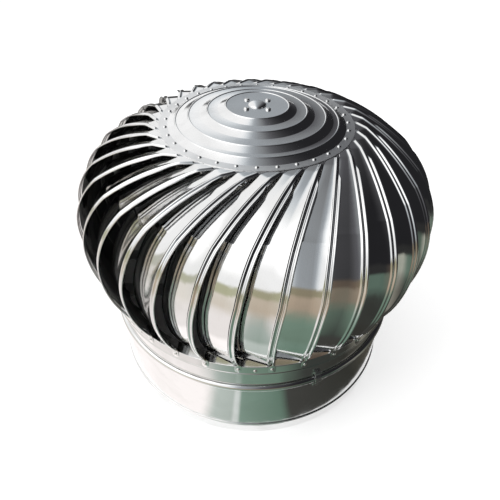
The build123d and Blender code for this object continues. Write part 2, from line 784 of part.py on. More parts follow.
with BuildPart() as vane:
    loft(side_sections)
    loft(top_sections)
    split(bisect_by=Plane.XY.offset(foot_height), keep=Keep.TOP)

    # The hem's upper corner is cut off and the bead runs on alone
    with BuildSketch(Plane.XY.offset(widest_height)):
        with BuildLine():
            Polyline(
                *plan_points(
                    (tab_run - 2 * hem_chamfer, edge_offset + hem_width),
                    (tab_run - hem_chamfer, bead_foot_offset),
                    (tab_run + hem_chamfer, bead_foot_offset),
                    (tab_run + hem_chamfer, edge_offset + hem_width),
                ),
                close=True,
            )
        make_face()
    extrude(amount=cap_rim_height - widest_height, mode=Mode.SUBTRACT)

    # Flat tab: the strip's end meets a sector that lies between the cap and the clamp ring
    with BuildSketch(Plane.XY.offset(tab_bottom)):
        with BuildLine():
            CenterArc((0, 0), rim_radius, sector_start, sector_end - sector_start)
            Line((0, 0), on_circle(rim_radius, sector_start)[:2])
            Line((0, 0), on_circle(rim_radius, sector_end)[:2])
        make_face()
        Circle(clamp_ring_radius - clamp_ring_width, mode=Mode.SUBTRACT)
        with BuildLine():
            Polyline(
                *plan_points(
                    (tab_run, tab_inner_offset),
                    (tab_run, bead_foot_offset),
                    (rim_run, bead_foot_offset),
                    (rim_run + tab_lap, neighbour_line(bead_foot_offset, rim_run + tab_lap) + tab_gap),
                ),
                close=True,
            )
        make_face()
    extrude(amount=vane_sheet)

    # The bead runs on over the tab and ends short of the cap
    with BuildSketch(Plane(origin=inward * tab_run + Vector(0, 0, tab_top), x_dir=across, z_dir=-inward)):
        with BuildLine():
            Polyline(
                (bead_offset - bead_half_width, -vane_sheet / 2),
                (bead_offset - bead_half_width, 0),
                (bead_offset, bead_height),
                (bead_foot_offset, 0),
                (bead_foot_offset, -vane_sheet / 2),
                close=True,
            )
        make_face()
    extrude(amount=bead_stop - tab_lead)

    # Ear that the bottom rivet holds against the ring
    with BuildSketch(facing_plane(ring_radius + ear_gap, vane_rivet_azimuth, vane_rivet_height)):
        SlotCenterToCenter(ear_rise, ear_width, rotation=90)
    extrude(amount=vane_sheet)
    with Locations(facing_plane(ring_radius + ear_rise, vane_rivet_azimuth, vane_rivet_height)):
        Hole(rivet_hole_radius, depth=2 * ear_rise)
    with Locations(on_circle(rivet_circle_radius, cap_rivet_azimuth, tab_top)):
        Hole(rivet_hole_radius, depth=2 * vane_sheet)

for number in range(vane_count):
    export_piece(vane.part.rotate(Axis.Z, number * vane_pitch), f"vane_{number + 1:02d}")
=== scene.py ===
import json
import math

import bmesh
import bpy
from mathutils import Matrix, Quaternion, Vector


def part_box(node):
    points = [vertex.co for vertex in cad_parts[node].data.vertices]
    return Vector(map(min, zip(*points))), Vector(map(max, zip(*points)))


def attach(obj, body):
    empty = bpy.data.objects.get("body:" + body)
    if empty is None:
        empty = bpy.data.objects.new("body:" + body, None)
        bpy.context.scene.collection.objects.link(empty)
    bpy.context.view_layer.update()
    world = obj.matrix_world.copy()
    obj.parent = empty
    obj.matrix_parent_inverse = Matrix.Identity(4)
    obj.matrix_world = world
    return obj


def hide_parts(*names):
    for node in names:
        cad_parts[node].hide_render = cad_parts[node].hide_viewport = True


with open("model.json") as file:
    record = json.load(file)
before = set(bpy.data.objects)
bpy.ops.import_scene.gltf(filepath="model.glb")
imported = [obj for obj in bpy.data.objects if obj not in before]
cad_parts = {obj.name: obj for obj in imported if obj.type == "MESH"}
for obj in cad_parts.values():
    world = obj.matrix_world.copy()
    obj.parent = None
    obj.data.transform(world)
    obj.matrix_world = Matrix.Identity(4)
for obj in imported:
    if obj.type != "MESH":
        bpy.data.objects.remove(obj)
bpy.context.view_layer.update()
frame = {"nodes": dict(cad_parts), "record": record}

# Lower throat ring: polished stainless sheet, rolled to a cylinder and closed on a hidden seam.
# Its bottom edge is doubled into a band with a rolled bead above, and its top edge is turned out
# into a narrow flange that the locking band grips.

full_turn = 2 * math.pi
fine_steps = 256


def rounded(points, radius, steps=5):
    """The same line with each inner corner turned into an arc, or as much of one as fits."""
    line = [points[0]]
    for before, corner, after in zip(points, points[1:], points[2:]):
        corner = Vector(corner)
        to_before = Vector(before) - corner
        to_after = Vector(after) - corner
        half_angle = to_before.angle(to_after) / 2
        reach = min(radius / math.tan(half_angle), to_before.length * 0.49, to_after.length * 0.49)
        start = corner + to_before.normalized() * reach
        end = corner + to_after.normalized() * reach
        for step in range(steps + 1):
            share = step / steps
            line.append(tuple(start.lerp(corner, share).lerp(corner.lerp(end, share), share)))
    line.append(points[-1])
    return line


def sheet_loop(line, thickness):
    """Closed outline of a sheet whose outer face is the line, with the sheet on the line's right."""
    inner = []
    for index, point in enumerate(line):
        ahead = Vector(line[min(index + 1, len(line) - 1)])
        behind = Vector(line[max(index - 1, 0)])
        along = (ahead - behind).normalized()
        inner.append((point[0] + along.y * thickness, point[1] - along.x * thickness))
    return list(line) + inner[::-1]


def placed(name, data):
    """Object that shows a mesh, lamp or camera, linked into the scene."""
    made = bpy.data.objects.new(name, data)
    bpy.context.scene.collection.objects.link(made)
    return made


def smooth_piece(name, mesh_builder, sharp_angle=40):
    """Object from a bmesh, with outward faces and edges left sharp past an angle in degrees."""
    bmesh.ops.remove_doubles(mesh_builder, verts=mesh_builder.verts, dist=1e-6)
    bmesh.ops.recalc_face_normals(mesh_builder, faces=mesh_builder.faces)
    mesh = bpy.data.meshes.new(name)
    mesh_builder.to_mesh(mesh)
    mesh_builder.free()
    mesh.shade_smooth()
    mesh.set_sharp_from_angle(angle=math.radians(sharp_angle))
    return placed(name, mesh)


def turned_row(builder, outline, angle):
    """Vertices of a (radius, height) outline at an angle round the axle."""
    return [
        builder.verts.new((radius * math.cos(angle), radius * math.sin(angle), height))
        for radius, height in outline
    ]


def spun(name, outline, start=0.0, sweep=full_turn, steps=fine_steps):
    """Closed outline of (radius, height) points turned round the axle, with flat ends if it is split."""
    builder = bmesh.new()
    closed = sweep >= full_turn
    rows = [
        turned_row(builder, outline, start + sweep * step / steps)
        for step in range(steps if closed else steps + 1)
    ]
    count = len(outline)
    pairs = list(zip(rows, rows[1:] + rows[:1])) if closed else list(zip(rows, rows[1:]))
    for row, following in pairs:
        for index in range(count):
            after = (index + 1) % count
            corners = [row[index], following[index], following[after], row[after]]
            if outline[index][0] == 0:
                corners.remove(following[index])
            if outline[after][0] == 0:
                corners.remove(following[after])
            if len(corners) > 2:
                builder.faces.new(corners)
    if not closed:
        builder.faces.new(rows[0])
        builder.faces.new(rows[-1])
    return smooth_piece(name, builder)


def node_group(name, inputs, outputs):
    """Empty shader group with float or vector sockets, returned with its inner ends."""
    group = bpy.data.node_groups.new(name, "ShaderNodeTree")
    for socket, kind, value in inputs:
        made = group.interface.new_socket(socket, in_out="INPUT", socket_type=kind)
        if value is not None:
            made.default_value = value
    for socket in outputs:
        group.interface.new_socket(socket, in_out="OUTPUT", socket_type="NodeSocketFloat")
    return group, group.nodes.new("NodeGroupInput"), group.nodes.new("NodeGroupOutput")


def feed(tree, socket, value):
    """Give a socket another node's output, or a plain value."""
    if isinstance(value, bpy.types.NodeSocket):
        tree.links.new(value, socket)
    else:
        socket.default_value = value


def fed(tree, kind, **inputs):
    """New node with inputs fed by name, where _ stands for a space."""
    node = tree.nodes.new(kind)
    for socket, value in inputs.items():
        feed(tree, node.inputs[socket.replace("_", " ")], value)
    return node


def math_node(tree, operation, first, second=None, third=None):
    """Math node whose inputs are sockets or plain numbers; returns its output."""
    node = tree.nodes.new("ShaderNodeMath")
    node.operation = operation
    for socket, value in zip(node.inputs, (first, second, third)):
        if value is not None:
            feed(tree, socket, value)
    return node.outputs[0]


def vector_node(tree, operation, first, second=None):
    """Vector Math node; its first output is a vector, and its Value a length or dot product."""
    node = tree.nodes.new("ShaderNodeVectorMath")
    node.operation = operation
    for socket, value in zip(node.inputs, (first, second)):
        if value is not None:
            feed(tree, socket, value)
    return node


def parts_of(tree, vector):
    """The X, Y and Z outputs of a vector."""
    return fed(tree, "ShaderNodeSeparateXYZ", Vector=vector).outputs


def object_place(tree):
    """Object coordinates, in metres in the shared frame."""
    return tree.nodes.new("ShaderNodeTexCoord").outputs["Object"]


def noise_node(tree, vector, scale, detail=2.0, distortion=0.0):
    """Noise texture read at a vector; returns its factor."""
    return fed(
        tree, "ShaderNodeTexNoise", Vector=vector, Scale=scale, Detail=detail, Distortion=distortion
    ).outputs[0]


def ranged(tree, value, start, end, low=0.0, high=1.0, curve="LINEAR"):
    """Number that goes from low to high while a value goes from start to end."""
    node = fed(
        tree, "ShaderNodeMapRange", Value=value, From_Min=start, From_Max=end, To_Min=low, To_Max=high
    )
    node.interpolation_type = curve
    return node.outputs[0]


def blended(tree, factor, first, second):
    """Colour that goes from the first to the second as the factor rises."""
    node = tree.nodes.new("ShaderNodeMix")
    node.data_type = "RGBA"
    for socket, value in (("Factor", factor), ("A", first), ("B", second)):
        feed(tree, node.inputs[socket], (*value, 1) if isinstance(value, tuple) else value)
    return node.outputs["Result"]


# Slow dents and rolling waves that bend the reflections in thin polished sheet
ripple_group, ripple_in, ripple_out = node_group(
    "sheet_ripple",
    [("Vector", "NodeSocketVector", None), ("Waves per metre", "NodeSocketFloat", 9.0)],
    ["Height"],
)
slow_wave = noise_node(
    ripple_group, ripple_in.outputs["Vector"], ripple_in.outputs["Waves per metre"], detail=1.5
)
ripple_group.links.new(slow_wave, ripple_out.inputs["Height"])

# Polishing grain along the sheet, with wiped patches and fingermarks that dull it
grain_group, grain_in, grain_out = node_group(
    "polishing_grain",
    [
        ("Vector", "NodeSocketVector", None),
        ("Patch vector", "NodeSocketVector", None),
        ("Clean roughness", "NodeSocketFloat", 0.05),
        ("Dull roughness", "NodeSocketFloat", 0.16),
    ],
    ["Roughness", "Height", "Dullness"],
)
grain_lines = noise_node(grain_group, grain_in.outputs["Vector"], scale=1.0, detail=3.0)
wiped = noise_node(grain_group, grain_in.outputs["Patch vector"], scale=16.0, detail=4.0, distortion=0.6)
wiped_mask = ranged(grain_group, wiped, start=0.45, end=0.72)
grain_share, wiped_share = 0.35, 0.65
dullness = math_node(
    grain_group, "MULTIPLY_ADD", grain_lines, grain_share,
    math_node(grain_group, "MULTIPLY", wiped_mask, wiped_share),
)
spread = math_node(
    grain_group, "SUBTRACT", grain_in.outputs["Dull roughness"], grain_in.outputs["Clean roughness"]
)
roughness = math_node(grain_group, "MULTIPLY_ADD", dullness, spread, grain_in.outputs["Clean roughness"])
grain_group.links.new(roughness, grain_out.inputs["Roughness"])
grain_group.links.new(grain_lines, grain_out.inputs["Height"])
grain_group.links.new(dullness, grain_out.inputs["Dullness"])


def place_group(material, group, **values):
    """Node in a material that holds a shared group, with its own values."""
    node = material.node_tree.nodes.new("ShaderNodeGroup")
    node.node_tree = group
    for socket, value in values.items():
        feed(material.node_tree, node.inputs[socket.replace("_", " ")], value)
    return node


def radius_of(tree, parts):
    """Distance from the axle of a place in parts."""
    squares = math_node(
        tree, "MULTIPLY_ADD", parts["X"], parts["X"], math_node(tree, "MULTIPLY", parts["Y"], parts["Y"])
    )
    return math_node(tree, "SQRT", squares)


def turned_vector(material, across=2200.0, along=8.0):
    """Coordinates for grain that runs round the axle: radius and height count fully, the angle little."""
    tree = material.node_tree
    place = object_place(tree)
    parts = parts_of(tree, place)
    angle = math_node(tree, "ARCTAN2", parts["Y"], parts["X"])
    grain = fed(
        tree, "ShaderNodeCombineXYZ",
        X=math_node(tree, "MULTIPLY", radius_of(tree, parts), across),
        Y=math_node(tree, "MULTIPLY", parts["Z"], across),
        Z=math_node(tree, "MULTIPLY", angle, along),
    )
    return grain.outputs[0], place


def new_finish(name):
    """Material, its node tree and the tree's surface node."""
    material = bpy.data.materials.new(name)
    material.use_nodes = True
    return material, material.node_tree, material.node_tree.nodes["Principled BSDF"]


def sheet_metal(name, colour, dull_colour, clean, dull, ripple_depth=0.0, grain_depth=0.0,
                vector=turned_vector, waves=9.0, brushed=0.0):
    """Bare metal sheet: slow ripple, grain and wiped patches; brushed round the axle where asked."""
    material, tree, surface = new_finish(name)
    surface.inputs["Metallic"].default_value = 1.0
    if brushed:
        surface.inputs["Anisotropic"].default_value = brushed
        surface.inputs["Anisotropic Rotation"].default_value = 0.25
        round_axle = tree.nodes.new("ShaderNodeTangent")
        round_axle.direction_type = "RADIAL"
        round_axle.axis = "Z"
        tree.links.new(round_axle.outputs[0], surface.inputs["Tangent"])
    grain, place = vector(material)
    marks = place_group(
        material, grain_group, Vector=grain, Patch_vector=place, Clean_roughness=clean, Dull_roughness=dull
    )
    ripple = place_group(material, ripple_group, Vector=place, Waves_per_metre=waves)
    slow_bump = fed(tree, "ShaderNodeBump", Height=ripple.outputs["Height"], Distance=ripple_depth)
    grain_bump = fed(
        tree, "ShaderNodeBump",
        Height=marks.outputs["Height"], Distance=grain_depth, Normal=slow_bump.outputs[0],
    )
    for socket, value in (
        ("Base Color", blended(tree, marks.outputs["Dullness"], colour, dull_colour)),
        ("Roughness", marks.outputs["Roughness"]),
        ("Normal", grain_bump.outputs[0]),
    ):
        tree.links.new(value, surface.inputs[socket])
    return material


body_of_node = {
    node: body for body, nodes in frame["record"]["behaviour"]["bodies"].items() for node in nodes
}


def dress(piece, finish, body, slot_name, *nodes):
    """Give a finished piece its metal and body, and let it stand for CAD nodes. The slot name is not used."""
    piece.data.materials.clear()
    piece.data.materials.append(finish)
    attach(piece, body)
    if nodes:
        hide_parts(*nodes)


throat_sheet_finish = sheet_metal(
    "polished_throat_sheet", (0.86, 0.86, 0.86), (0.74, 0.74, 0.73), clean=0.07, dull=0.19,
    ripple_depth=0.0009, grain_depth=0.00001, brushed=0.5,
)
lower_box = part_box("throat_lower")
throat_sheet = 0.001
throat_flange_radius = lower_box[1].x
throat_flange_width = 0.0035
throat_radius = throat_flange_radius - throat_flange_width
throat_corner = 0.0008
joint_height = lower_box[1].z
hem_step = 0.0012
hem_height = 0.020
hem_fold = 0.0002
bead_radius = 0.0015
bead_gap = 0.0003


def arc(radius, height, size, start, sweep, steps):
    """Points round a centre of (radius, height), from a start angle on through a sweep."""
    turns = [start + sweep * step / steps for step in range(steps + 1)]
    return [(radius + size * math.cos(turn), height + size * math.sin(turn)) for turn in turns]


half_turn = math.pi
quarter_turn = math.pi / 2
bead_steps = 10
hem_band = rounded(
    [
        (throat_radius - throat_sheet, 0),
        (throat_radius + hem_step, 0),
        (throat_radius + hem_step, hem_height),
        (throat_radius + hem_step * 0.2, hem_height + hem_fold),
    ],
    throat_corner,
)
lower_outline = (
    hem_band
    + arc(throat_radius, hem_height + bead_radius + bead_gap, bead_radius, -quarter_turn, half_turn, bead_steps)
    + rounded(
        [
            (throat_radius, hem_height + 3 * bead_radius),
            (throat_radius, joint_height - throat_sheet),
            (throat_flange_radius, joint_height - throat_sheet),
            (throat_flange_radius, joint_height),
            (throat_radius - throat_sheet, joint_height),
        ],
        throat_corner,
    )
)
throat_lower = spun("throat_lower_ring", lower_outline)
dress(throat_lower, throat_sheet_finish, "base", "stainless", "throat_lower")

# Upper throat ring: the same sheet, with its flange at the bottom and a rolled bead near its top
# edge, which stands up inside the turbine's bottom ring.

upper_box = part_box("throat_upper")
throat_top = upper_box[1].z
upper_outline = rounded(
    [
        (throat_radius - throat_sheet, joint_height),
        (throat_flange_radius, joint_height),
        (throat_flange_radius, joint_height + throat_sheet),
        (throat_radius, joint_height + throat_sheet),
        (throat_radius, throat_top - 2 * bead_radius),
    ],
    throat_corner,
)
upper_outline += arc(throat_radius, throat_top - bead_radius, bead_radius, -quarter_turn, half_turn, bead_steps)
upper_outline += [(throat_radius - throat_sheet, throat_top)]
throat_upper = spun("throat_upper_ring", upper_outline)
dress(throat_upper, throat_sheet_finish, "base", "stainless", "throat_upper")

# Locking band: a half-round channel of thin stainless, sprung over both flanges and split under
# its clip. Its rounded back is the bright line round the throat.

band_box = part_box("lock_band")
clip_angle = math.radians(294.7)
band_sheet = 0.0009
band_seat_gap = 0.0001
band_foot = throat_radius + band_seat_gap
band_depth = band_box[1].x - band_foot
band_half = (band_box[1].z - band_box[0].z) / 2
band_split = 0.006
split_angle = band_split / throat_radius


def band_arc(depth, half, steps=18):
    """Arc of the channel's back from its lower to its upper foot."""
    radius = (half**2 + depth**2) / (2 * depth)
    reach = math.asin(half / radius) if depth < half else half_turn - math.asin(half / radius)
    return arc(band_foot + depth - radius, joint_height, radius, -reach, 2 * reach, steps)


band_outline = band_arc(band_depth, band_half)
band_outline += band_arc(band_depth - band_sheet, band_half - band_sheet)[::-1]
lock_band = spun(
    "locking_band", band_outline, clip_angle + split_angle / 2, full_turn - split_angle
)
band_finish = sheet_metal(
    "polished_band", (0.88, 0.88, 0.88), (0.78, 0.78, 0.77), clean=0.07, dull=0.16,
    ripple_depth=0.0003, grain_depth=0.00001,
)
dress(lock_band, band_finish, "base", "stainless", "lock_band")

# Band clip: a narrow strap of stainless sheet, bent over the split in the band and curled at its
# top end. It keeps the band's two ends together.

clip_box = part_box("band_clip")
clip_sheet = 0.001
clip_width = 0.010
clip_stand = 0.0011
clip_foot_run = 0.004
clip_corner = 0.0014
curl_radius = 0.0022
curl_start = 0.0024
curl_set_in = 0.0005
curl_turn = 5.04
clip_sweep = clip_width / throat_radius
clip_face = throat_radius + clip_stand
clip_arch = band_foot + band_depth + clip_stand
strap_line = rounded(
    [
        (clip_face, clip_box[0].z),
        (clip_face, joint_height - band_half - clip_foot_run),
        (clip_arch, joint_height - band_half),
        (clip_arch, joint_height + band_half),
        (clip_face, joint_height + band_half + clip_foot_run),
        (clip_face, clip_box[1].z - curl_start),
    ],
    clip_corner,
    4,
)
curl_middle = (clip_face + curl_radius - curl_set_in, clip_box[1].z - curl_radius)
strap_line += arc(*curl_middle, curl_radius, half_turn, -curl_turn, 14)[1:]
clip = spun(
    "band_clip_strap", sheet_loop(strap_line, -clip_sheet), clip_angle - clip_sweep / 2, clip_sweep, 4
)
clip_finish = sheet_metal("clip_steel", (0.94, 0.94, 0.94), (0.84, 0.84, 0.84), clean=0.24, dull=0.36)
dress(clip, clip_finish, "base", "stainless", "band_clip")

# Bracket, axle, bearings and spider: plain steel that is barely seen. The galvanised bracket crosses
# the throat and holds the turned axle, and two sealed bearings on the axle carry the spider arms
# and the cap. Their rivets and the ring's hoop are stainless straight from the mill.

galvanised = sheet_metal(
    "galvanised_steel", (0.52, 0.53, 0.54), (0.38, 0.39, 0.40), clean=0.30, dull=0.55,
    ripple_depth=0.0002, grain_depth=0.00002,
)
turned_steel = sheet_metal(
    "turned_steel", (0.62, 0.62, 0.62), (0.48, 0.48, 0.48), clean=0.20, dull=0.36, grain_depth=0.00002
)
mill_stainless = sheet_metal(
    "mill_stainless", (0.58, 0.58, 0.57), (0.44, 0.44, 0.43), clean=0.28, dull=0.44, grain_depth=0.00002
)
for finish, slot_name, names in (
    (galvanised, "plain_steel", (
        "bracket_hub", "bracket_arms", "spider_arms", "lower_bearing_housing", "upper_bearing_housing",
    )),
    (mill_stainless, "stainless", ("bracket_rivets", "spider_rivets", "ring_hoop")),
    (turned_steel, "plain_steel", ("axle", "axle_spacer", "axle_nuts")),
    (turned_steel, "bearing_steel", (
        "lower_bearing_inner_ring", "upper_bearing_inner_ring", "lower_bearing_outer_ring",
        "upper_bearing_outer_ring", "bearing_circlip",
    )),
):
    for name in names:
        dress(frame["nodes"][name], finish, body_of_node[name], slot_name)

# Bottom ring of the turbine: an angle section of stainless sheet that turns round the throat's
# top. Its edge is turned under at the bottom, and its flange points inward at the top.

ring_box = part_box("bottom_ring")
ring_sheet = 0.001
ring_hem_step = 0.001
ring_radius = ring_box[1].x - ring_hem_step
ring_bottom = ring_box[0].z
ring_top = ring_box[1].z
ring_flange_width = 0.018
ring_hem_height = 0.0026
ring_hem_slope = 0.0012
ring_corner = 0.0012
ring_line = rounded(
    [
        (ring_radius - ring_flange_width, ring_top),
        (ring_radius, ring_top),
        (ring_radius, ring_bottom + ring_hem_height + ring_hem_slope),
        (ring_radius + ring_hem_step, ring_bottom + ring_hem_height),
        (ring_radius + ring_hem_step, ring_bottom),
        (ring_radius, ring_bottom),
    ],
    ring_corner,
)
ring_inner_wall = ring_radius - ring_sheet
ring_outline = ring_line + [
    (ring_inner_wall, ring_bottom),
    (ring_inner_wall, ring_top - ring_sheet),
    (ring_radius - ring_flange_width, ring_top - ring_sheet),
]
ring_finish = sheet_metal(
    "polished_ring_sheet", (0.86, 0.86, 0.86), (0.74, 0.74, 0.73), clean=0.07, dull=0.18,
    ripple_depth=0.0003, grain_depth=0.00001,
)
bottom_ring = spun("bottom_ring_angle", ring_outline)
dress(bottom_ring, ring_finish, "turbine", "stainless", "bottom_ring")

# Vanes: thirty-two strips of thin polished stainless, each rolled along its length, creased across
# near the top, beaded and hemmed along its outer edge, and skewed back towards its foot. One vane
# is drawn in its own upright plane and then repeated round the axle.

vane_count = 32
vane_azimuth = math.radians(240)
edge_offset = 0.1295
strip_width = 0.0615
turbine_bulge = 0.0365
bead_inset = 0.0075
bead_offset = edge_offset - bead_inset
bead_half_width = 0.0032
bead_height = 0.0018
valley_depth = 0.0010
hem_width = 0.0018
hem_rise = 0.0010
hem_thickness = 0.0017
vane_sheet = 0.0008
lip_width = 0.006
lip_depth = 0.0016
shoulder_radius = 0.140
shoulder_turn = math.radians(47)
crease_turn = math.radians(6)
tab_bend_turn = math.radians(15)
tab_bend_radius = 0.020
tab_lead = 0.0275
skew_height = 0.340
skew_tangent = math.tan(math.radians(6.4))
foot_gap = 0.0015
foot_overhang = 0.0006
tab_reach = 0.0015
tab_gap = 0.0007
tab_end_run = -0.058
bead_stop = 0.009
bead_end_stations = (-0.0115, -0.0032, -0.0026, -0.0018, -0.0008, 0)
crease_ridge = 0.0002
crease_reach = 0.0022
hem_blend = 0.0022
flatten_run = 0.030
corner_start = 0.028
corner_run = 0.014
turbine_radius = ring_radius + turbine_bulge
cap_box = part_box("top_cap")
cap_sheet = 0.001
cap_rim_radius = cap_box[1].x
cap_rim_height = cap_box[0].z + cap_sheet
tab_top = cap_rim_height - cap_sheet
vane_pitch = full_turn / vane_count
inward = Vector((-math.cos(vane_azimuth), -math.sin(vane_azimuth), 0))
across = Vector((-math.sin(vane_azimuth), math.cos(vane_azimuth), 0))
up = Vector((0, 0, 1))
bead_foot = bead_offset + bead_half_width
rim_run = -math.sqrt((cap_rim_radius + tab_reach) ** 2 - bead_foot**2)
tab_run = rim_run - tab_lead
widest_run = -math.sqrt(turbine_radius**2 - edge_offset**2)
top_start_slope = quarter_turn - shoulder_turn - crease_turn
crease_run = widest_run + shoulder_radius * (1 - math.cos(shoulder_turn))
top_end_run = tab_run - tab_bend_radius * math.sin(tab_bend_turn)
top_end_height = tab_top - tab_bend_radius * (1 - math.cos(tab_bend_turn))
top_radius = (top_end_run - crease_run) / (math.sin(top_start_slope) - math.sin(tab_bend_turn))
crease_height = top_end_height - top_radius * (math.cos(tab_bend_turn) - math.cos(top_start_slope))
widest_height = crease_height - shoulder_radius * math.sin(shoulder_turn)
foot_height = ring_top + foot_gap
foot_offset = edge_offset - (skew_height - foot_height) * skew_tangent
foot_run = -math.sqrt((ring_radius + foot_overhang) ** 2 - foot_offset**2)
foot_rise = widest_height - foot_height
lower_radius = (foot_rise**2 + (foot_run - widest_run) ** 2) / (2 * (foot_run - widest_run))


def arc_stations(run, height, radius, slope_from, slope_to, steps):
    """Stations (run, height, slope) along an arc of the strip's path, after its first point."""
    stations = []
    for step in range(1, steps + 1):
        slope = slope_from + (slope_to - slope_from) * step / steps
        stations.append((
            run + radius * (math.sin(slope_from) - math.sin(slope)),
            height + radius * (math.cos(slope) - math.cos(slope_from)),
            slope,
        ))
    return stations


def neighbour_offset(run):
    """Inner edge of the flat tab, where the next vane's bead runs past."""
    return bead_foot / math.cos(vane_pitch) + math.tan(vane_pitch) * run + tab_gap


foot_slope = quarter_turn + math.asin(foot_rise / lower_radius)
path = [(foot_run, foot_height, foot_slope)]
path += arc_stations(*path[-1][:2], lower_radius, foot_slope, quarter_turn, 12)
path += arc_stations(*path[-1][:2], shoulder_radius, quarter_turn, quarter_turn - shoulder_turn, 12)
crease_station = path.pop()
crease_slope = top_start_slope + crease_turn / 2
for share, slope in (
    (-1, top_start_slope + crease_turn), (-0.5, crease_slope), (0, crease_slope), (0.5, crease_slope),
    (1, top_start_slope),
):
    path.append((
        crease_station[0] + share * crease_reach * math.cos(slope),
        crease_station[1] + share * crease_reach * math.sin(slope),
        slope,
    ))
path += arc_stations(*crease_station[:2], top_radius, top_start_slope, tab_bend_turn, 11)
path += arc_stations(*path[-1][:2], tab_bend_radius, tab_bend_turn, 0, 4)
bead_end_run = rim_run - bead_stop
path += [(bead_end_run + shift, tab_top, 0) for shift in bead_end_stations]
path += [(bead_end_run + (tab_end_run - bead_end_run) * step / 4, tab_top, 0) for step in range(1, 5)]
inner_taper = (neighbour_offset(tab_run) - (edge_offset - strip_width)) / (tab_run - crease_run)


def eased(keys, where):
    """Height at a place on a line through the keys that levels out at each of them."""
    if where <= keys[0][0]:
        return keys[0][1]
    for (start, low), (end, high) in zip(keys, keys[1:]):
        if where <= end:
            share = (where - start) / (end - start)
            return low + (high - low) * (1 - math.cos(math.pi * share)) / 2
    return keys[-1][1]


def limited(share):
    """The share, held between 0 and 1."""
    return min(1.0, max(0.0, share))


def strip_loop(run, height):
    """Closed outline of the strip as (across, outward) points, at a station of its path."""
    skew = max(0.0, skew_height - height) * skew_tangent
    flat_share = limited((run - top_end_run + flatten_run) / flatten_run)
    inner = edge_offset - strip_width
    if run > tab_run:
        inner = neighbour_offset(run)
    elif run > crease_run:
        inner += (run - crease_run) * inner_taper
    corner_share = limited((run - tab_run + corner_start) / corner_run)
    outer = edge_offset + (bead_foot - edge_offset) * corner_share
    lip = lip_depth * (1 - flat_share)
    valley = valley_depth * (1 - corner_share)
    rise = hem_rise * (1 - corner_share)
    bead_left = limited((rim_run - bead_stop - run) / bead_half_width)
    bead = bead_height * math.sqrt(1 - (1 - bead_left) ** 2)
    hem = hem_thickness * (1 - corner_share) + vane_sheet * corner_share
    keys = [
        (inner, -lip),
        (inner + lip_width * 0.5, -lip * 0.25),
        (inner + lip_width, 0.0),
        (max(inner + lip_width, bead_offset - bead_half_width), 0.0),
        (bead_offset, bead),
        (bead_foot, -valley),
        (edge_offset - hem_width * 0.6, rise),
        (edge_offset, rise),
    ]
    columns = [inner + lip_width * share for share in (0, 0.25, 0.5, 0.75, 1)]
    flat_end = bead_offset - bead_half_width
    columns += [inner + lip_width + (flat_end - inner - lip_width) * share for share in (0.33, 0.67, 1)]
    columns += [flat_end + bead_half_width * step / 4 for step in range(1, 9)]
    columns += [bead_foot + (edge_offset - bead_foot) * step / 6 for step in range(1, 7)]
    columns = sorted(min(column, outer) for column in columns)
    off_crease = math.hypot(run - crease_station[0], height - crease_station[1]) / crease_reach
    ridge = crease_ridge * max(0.0, 1 - off_crease**2)
    ridge_end = bead_offset - 1.5 * bead_half_width
    top = [
        (column, eased(keys, column) + (ridge if inner < column < ridge_end else 0.0)) for column in columns
    ]
    under = []
    for column, level in top:
        thick = vane_sheet + (hem - vane_sheet) * limited((column - bead_foot) / hem_blend)
        under.append((column, level - thick))
    edge_level = (top[-1][1] + under[-1][1]) / 2
    edge_half = (top[-1][1] - under[-1][1]) / 2
    round_edge = [
        (outer + edge_half * 0.8 * math.cos(turn), edge_level + edge_half * math.sin(turn))
        for turn in (math.pi / 3, math.pi / 6, 0, -math.pi / 6, -math.pi / 3)
    ]
    loop = [(column, level, 0.0) for column, level in top + round_edge]
    loop += [(column, level, 1.0) for column, level in under[::-1]]
    return [(column - skew, level, side) for column, level, side in loop]


def vane_mesh():
    """One vane as a closed sheet, with a map that measures across and along it in metres."""
    builder = bmesh.new()
    strip_map = builder.loops.layers.uv.new("strip")
    rows = []
    travelled = 0.0
    for index, (run, height, slope) in enumerate(path):
        if index:
            travelled += math.hypot(run - path[index - 1][0], height - path[index - 1][1])
        outward = up * math.cos(slope) - inward * math.sin(slope)
        row = []
        for column, level, side in strip_loop(run, height):
            place = inward * run + up * height + across * column + outward * level
            row.append((builder.verts.new(place), (column + side, travelled)))
        rows.append(row)
    for row, following in zip(rows, rows[1:]):
        for index in range(len(row)):
            after = (index + 1) % len(row)
            corners = [row[index], following[index], following[after], row[after]]
            face = builder.faces.new([corner[0] for corner in corners])
            for loop, corner in zip(face.loops, corners):
                loop[strip_map].uv = corner[1]
    for row in (rows[0], rows[-1]):
        for index in range(len(row) // 2):
            corners = (row[index], row[index + 1], row[-index - 2], row[-index - 1])
            corners = list(dict.fromkeys(corner[0] for corner in corners))
            if len(corners) > 2:
                builder.faces.new(corners)
    add_ear(builder)
    return builder


ear_setback = 0.0019
ear_azimuth = vane_azimuth + math.atan2(foot_offset - ear_setback, -foot_run)
ear_drop = 0.005
ear_radius = 0.0055
ear_half_run = 0.003
ear_top = 0.00095
ear_layers = ((0.00015, 0), (0.00075, 0), (ear_top, 0.0003))


def band_of_faces(builder, low, high):
    """Faces between two closed rings of vertices, either of which may be a single vertex."""
    sides = max(len(low), len(high))
    for side in range(sides):
        after = (side + 1) % sides
        corners = [low[side % len(low)], low[after % len(low)], high[after % len(high)], high[side % len(high)]]
        builder.faces.new(list(dict.fromkeys(corners)))


